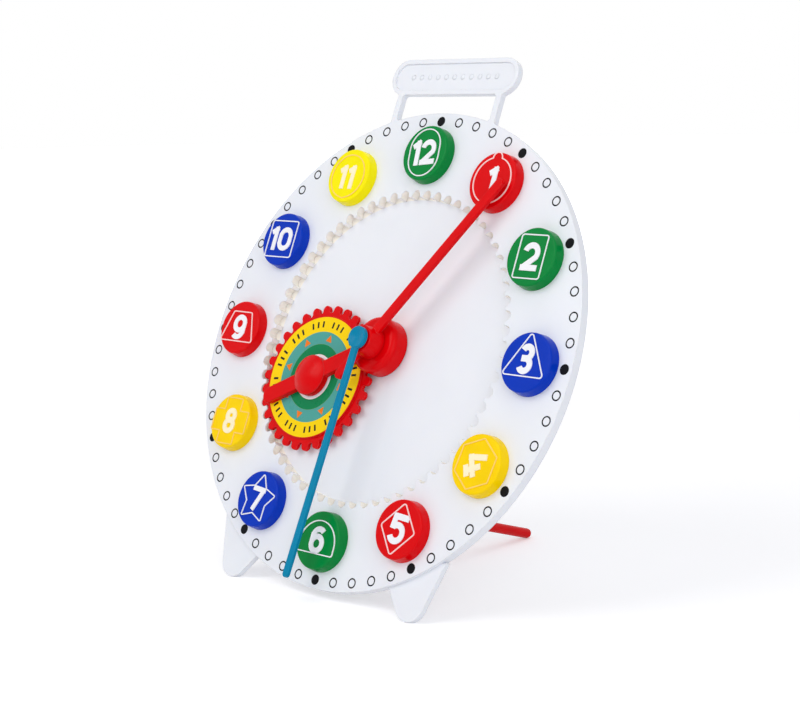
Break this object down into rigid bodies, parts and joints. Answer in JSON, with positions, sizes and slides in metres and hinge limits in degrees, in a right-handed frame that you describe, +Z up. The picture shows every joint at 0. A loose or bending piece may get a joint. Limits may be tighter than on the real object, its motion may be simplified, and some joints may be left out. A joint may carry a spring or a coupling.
{
  "type": "geared teaching clock",
  "caption": "Leaning toy clock: round dial with handle and feet, loose number discs on shaped pegs, planet gear under the hour hand, minute and second hands, rear prop rod.",
  "frame": {"origin": "on the ground, at the middle of the clock's width and depth", "axes": "+Z up; the dial faces -Y and leans back; X runs across the dial, +X towards the number 3"},
  "size_m": [0.24, 0.1706, 0.2516],
  "materials": {
    "white_plastic": "satin",
    "red_plastic": "glossy",
    "green_plastic": "glossy",
    "blue_plastic": "glossy",
    "yellow_plastic": "glossy",
    "teal_plastic": "glossy",
    "white_relief": "printed",
    "black_print": "printed",
    "label_print": "printed"
  },
  "bodies": {
    "dial": {"dial_plate": "white_plastic", "gear_floor": "white_plastic", "rod_socket": "white_plastic", "minute_marks": "black_print", "centre_axle": "red_plastic"},
    "minute": {"minute_hand": "red_plastic", "drive_pinion": "red_plastic"},
    "hour": {"hour_hand": "red_plastic", "planet_pin": "red_plastic"},
    "planet": {"planet_gear": "red_plastic", "planet_label": "label_print"},
    "second": {"second_hand": "teal_plastic"},
    "rod": {"stand_rod": "red_plastic"},
    "number_01": {"number_01": "red_plastic", "number_01_relief": "white_relief"},
    "number_02": {"number_02": "green_plastic", "number_02_relief": "white_relief"},
    "number_03": {"number_03": "blue_plastic", "number_03_relief": "white_relief"},
    "number_04": {"number_04": "yellow_plastic", "number_04_relief": "white_relief"},
    "number_05": {"number_05": "red_plastic", "number_05_relief": "white_relief"},
    "number_06": {"number_06": "green_plastic", "number_06_relief": "white_relief"},
    "number_07": {"number_07": "blue_plastic", "number_07_relief": "white_relief"},
    "number_08": {"number_08": "yellow_plastic", "number_08_relief": "white_relief"},
    "number_09": {"number_09": "red_plastic", "number_09_relief": "white_relief"},
    "number_10": {"number_10": "blue_plastic", "number_10_relief": "white_relief"},
    "number_11": {"number_11": "yellow_plastic", "number_11_relief": "white_relief"},
    "number_12": {"number_12": "green_plastic", "number_12_relief": "white_relief"}
  },
  "joints": [
    {"name": "minute_spin", "type": "hinge", "parent": "dial", "child": "minute", "pos_m": [0, -0.02344, 0.11505], "axis": [0, 0.918, -0.3966], "continuous": true},
    {"name": "hour_spin", "type": "hinge", "parent": "dial", "child": "hour", "pos_m": [0, -0.02344, 0.11505], "axis": [0, 0.918, -0.3966], "continuous": true},
    {"name": "planet_spin", "type": "hinge", "parent": "hour", "child": "planet", "pos_m": [-0.03782, -0.03111, 0.0973], "axis": [0, 0.918, -0.3966], "continuous": true},
    {"name": "second_spin", "type": "hinge", "parent": "dial", "child": "second", "pos_m": [0, -0.02344, 0.11505], "axis": [0, 0.918, -0.3966], "continuous": true},
    {"name": "rod_slide", "type": "slide", "parent": "dial", "child": "rod", "axis": [0, 0.9548, -0.2971], "range_m": [0, 0.02]},
    {"name": "number_01_lift", "type": "slide", "parent": "dial", "child": "number_01", "axis": [0, -0.918, 0.3966], "range_m": [0, 0.0019]},
    {"name": "number_02_lift", "type": "slide", "parent": "dial", "child": "number_02", "axis": [0, -0.918, 0.3966], "range_m": [0, 0.008]},
    {"name": "number_03_lift", "type": "slide", "parent": "dial", "child": "number_03", "axis": [0, -0.918, 0.3966], "range_m": [0, 0.008]},
    {"name": "number_04_lift", "type": "slide", "parent": "dial", "child": "number_04", "axis": [0, -0.918, 0.3966], "range_m": [0, 0.008]},
    {"name": "number_05_lift", "type": "slide", "parent": "dial", "child": "number_05", "axis": [0, -0.918, 0.3966], "range_m": [0, 0.008]},
    {"name": "number_06_lift", "type": "slide", "parent": "dial", "child": "number_06", "axis": [0, -0.918, 0.3966], "range_m": [0, 0.008]},
    {"name": "number_07_lift", "type": "slide", "parent": "dial", "child": "number_07", "axis": [0, -0.918, 0.3966], "range_m": [0, 0.0019]},
    {"name": "number_08_lift", "type": "slide", "parent": "dial", "child": "number_08", "axis": [0, -0.918, 0.3966], "range_m": [0, 0.008]},
    {"name": "number_09_lift", "type": "slide", "parent": "dial", "child": "number_09", "axis": [0, -0.918, 0.3966], "range_m": [0, 0.008]},
    {"name": "number_10_lift", "type": "slide", "parent": "dial", "child": "number_10", "axis": [0, -0.918, 0.3966], "range_m": [0, 0.008]},
    {"name": "number_11_lift", "type": "slide", "parent": "dial", "child": "number_11", "axis": [0, -0.918, 0.3966], "range_m": [0, 0.008]},
    {"name": "number_12_lift", "type": "slide", "parent": "dial", "child": "number_12", "axis": [0, -0.918, 0.3966], "range_m": [0, 0.008]}
  ],
  "couplings": [
    {"joint": "hour_spin", "follows": "minute_spin", "ratio": 0.083333},
    {"joint": "planet_spin", "follows": "minute_spin", "ratio": -0.18333}
  ]
}
